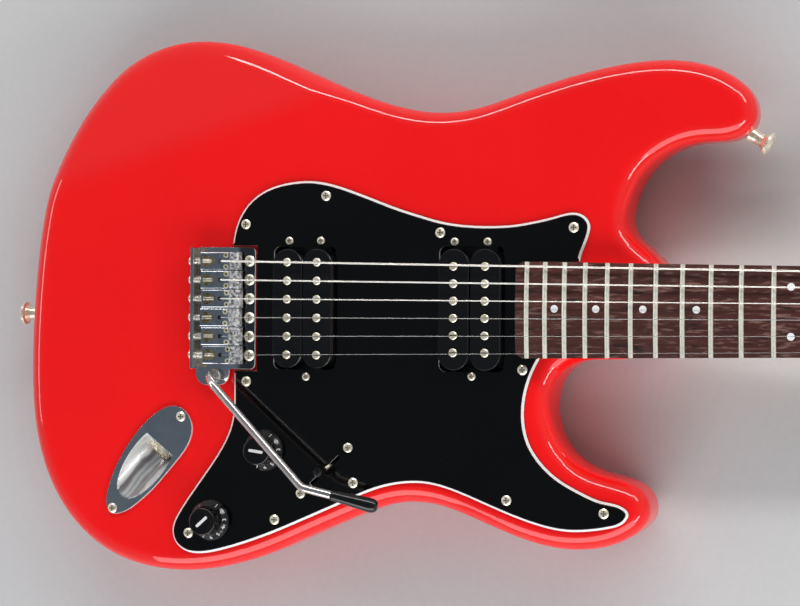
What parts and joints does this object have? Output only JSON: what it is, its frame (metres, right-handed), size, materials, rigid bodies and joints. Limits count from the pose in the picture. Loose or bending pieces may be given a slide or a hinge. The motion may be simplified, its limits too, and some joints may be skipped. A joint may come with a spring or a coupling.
{
  "type": "electric guitar",
  "caption": "Solid-body electric guitar with bolt-on neck, pickguard, twin-coil pickups, pivoting vibrato bridge with arm, knobs, selector, jack and tuners.",
  "frame": {"origin": "on the plane of the back plates the guitar lies on, on the centre line, straight below the scale line at the bridge", "axes": "+X along the strings towards the headstock, +Y towards the bass side, +Z out of the body's top"},
  "size_m": [0.9837, 0.3226, 0.0849],
  "materials": {
    "body_red": "high-gloss bright red over wood",
    "maple": "satin clear finish",
    "rosewood": "oiled dark wood",
    "fretwire": "polished nickel silver",
    "bone": "polished off-white",
    "pearl": "pearly white",
    "chrome": "mirror chrome",
    "nickel": "nickel plate",
    "steel": "plain steel",
    "string_wire": "plain and round-wound nickel wire",
    "guard_black": "three-ply gloss black with white core",
    "bobbin_black": "moulded black",
    "coil_wire": "enamelled copper winding",
    "magnet": "cast magnet",
    "cover_white": "smooth off-white",
    "knob_black": "moulded black",
    "brass": "bare brass",
    "tip_black": "moulded black"
  },
  "bodies": {
    "guitar": {"body": "body_red", "neck": "maple", "fingerboard": "rosewood", "frets": "fretwire", "nut": "bone", "position_dots": "pearl", "truss_rod": "steel", "string_trees": "nickel", "tuner_housings": "chrome", "tuner_bushings": "chrome", "neck_plate": "chrome", "neck_screws": "nickel", "strap_buttons": "nickel", "claw_and_strap_screws": "nickel", "pickguard": "guard_black", "plate_screws": "nickel", "jack_plate": "chrome", "output_jack": "nickel", "pickup_bobbins": "bobbin_black", "pickup_coils": "coil_wire", "pickup_baseplates": "steel", "pickup_magnets": "magnet", "pickup_pole_screws": "nickel", "pickup_height_screws": "nickel", "pickup_springs": "steel", "control_pots": "steel", "pot_nuts": "nickel", "switch_frame": "steel", "switch_screws": "nickel", "bridge_pivot_screws": "nickel", "spring_claw": "steel", "trem_springs": "steel", "back_cover": "cover_white", "strings": "string_wire"},
    "bridge": {"bridge_plate": "chrome", "bridge_block": "steel", "saddles": "chrome", "saddle_height_screws": "steel", "intonation_screws": "nickel", "intonation_springs": "steel"},
    "arm": {"vibrato_arm": "chrome", "arm_tip": "tip_black"},
    "volume": {"volume_knob": "knob_black", "volume_shaft": "brass"},
    "tone": {"tone_knob": "knob_black", "tone_shaft": "brass"},
    "selector": {"switch_lever": "nickel", "switch_tip": "tip_black"},
    "button_1": {"tuner_button_1": "chrome"},
    "post_1": {"tuner_post_1": "chrome"},
    "button_2": {"tuner_button_2": "chrome"},
    "post_2": {"tuner_post_2": "chrome"},
    "button_3": {"tuner_button_3": "chrome"},
    "post_3": {"tuner_post_3": "chrome"},
    "button_4": {"tuner_button_4": "chrome"},
    "post_4": {"tuner_post_4": "chrome"},
    "button_5": {"tuner_button_5": "chrome"},
    "post_5": {"tuner_post_5": "chrome"},
    "button_6": {"tuner_button_6": "chrome"},
    "post_6": {"tuner_post_6": "chrome"}
  },
  "joints": [
    {"name": "vibrato_pivot", "type": "hinge", "parent": "guitar", "child": "bridge", "pos_m": [0.0103, 0, 0.04965], "axis": [0, 1, 0], "range_deg": [-2, 7], "stiffness_Nm_per_rad": 15, "deforming": ["strings", "trem_springs"]},
    {"name": "arm_swing", "type": "hinge", "parent": "bridge", "child": "arm", "pos_m": [-0.0112, -0.0406, 0.04965], "axis": [0, 0, 1], "range_deg": [-75, 30]},
    {"name": "volume_turn", "type": "hinge", "parent": "guitar", "child": "volume", "pos_m": [0.0195, -0.0845, 0.04645], "axis": [0, 0, 1], "range_deg": [0, 280]},
    {"name": "tone_turn", "type": "hinge", "parent": "guitar", "child": "tone", "pos_m": [-0.0146, -0.1272, 0.04645], "axis": [0, 0, 1], "range_deg": [0, 280]},
    {"name": "switch_throw", "type": "hinge", "parent": "guitar", "child": "selector", "pos_m": [0.05735, -0.0958, 0.03745], "axis": [0.6858, -0.7278, 0], "range_deg": [-25, 25]},
    {"name": "tuner_button_turn_1", "type": "hinge", "parent": "guitar", "child": "button_1", "pos_m": [0.68516, 0.01865, 0.02905], "axis": [0.2867, 0.958, 0], "continuous": true},
    {"name": "tuner_post_turn_1", "type": "hinge", "parent": "guitar", "child": "post_1", "pos_m": [0.69, 0.0172, 0.04645], "axis": [0, 0, 1], "continuous": true},
    {"name": "tuner_button_turn_2", "type": "hinge", "parent": "guitar", "child": "button_2", "pos_m": [0.7095, 0.01137, 0.02905], "axis": [0.2867, 0.958, 0], "continuous": true},
    {"name": "tuner_post_turn_2", "type": "hinge", "parent": "guitar", "child": "post_2", "pos_m": [0.71433, 0.00992, 0.04645], "axis": [0, 0, 1], "continuous": true},
    {"name": "tuner_button_turn_3", "type": "hinge", "parent": "guitar", "child": "button_3", "pos_m": [0.73383, 0.00409, 0.02905], "axis": [0.2867, 0.958, 0], "continuous": true},
    {"name": "tuner_post_turn_3", "type": "hinge", "parent": "guitar", "child": "post_3", "pos_m": [0.73867, 0.00264, 0.04645], "axis": [0, 0, 1], "continuous": true},
    {"name": "tuner_button_turn_4", "type": "hinge", "parent": "guitar", "child": "button_4", "pos_m": [0.75816, -0.0032, 0.02905], "axis": [0.2867, 0.958, 0], "continuous": true},
    {"name": "tuner_post_turn_4", "type": "hinge", "parent": "guitar", "child": "post_4", "pos_m": [0.763, -0.00464, 0.04645], "axis": [0, 0, 1], "continuous": true},
    {"name": "tuner_button_turn_5", "type": "hinge", "parent": "guitar", "child": "button_5", "pos_m": [0.7825, -0.01048, 0.02905], "axis": [0.2867, 0.958, 0], "continuous": true},
    {"name": "tuner_post_turn_5", "type": "hinge", "parent": "guitar", "child": "post_5", "pos_m": [0.78734, -0.01192, 0.04645], "axis": [0, 0, 1], "continuous": true},
    {"name": "tuner_button_turn_6", "type": "hinge", "parent": "guitar", "child": "button_6", "pos_m": [0.80683, -0.01776, 0.02905], "axis": [0.2867, 0.958, 0], "continuous": true},
    {"name": "tuner_post_turn_6", "type": "hinge", "parent": "guitar", "child": "post_6", "pos_m": [0.81167, -0.01921, 0.04645], "axis": [0, 0, 1], "continuous": true}
  ],
  "couplings": [
    {"joint": "tuner_post_turn_1", "follows": "tuner_button_turn_1", "ratio": 0.071429},
    {"joint": "tuner_post_turn_2", "follows": "tuner_button_turn_2", "ratio": 0.071429},
    {"joint": "tuner_post_turn_3", "follows": "tuner_button_turn_3", "ratio": 0.071429},
    {"joint": "tuner_post_turn_4", "follows": "tuner_button_turn_4", "ratio": 0.071429},
    {"joint": "tuner_post_turn_5", "follows": "tuner_button_turn_5", "ratio": 0.071429},
    {"joint": "tuner_post_turn_6", "follows": "tuner_button_turn_6", "ratio": 0.071429}
  ]
}
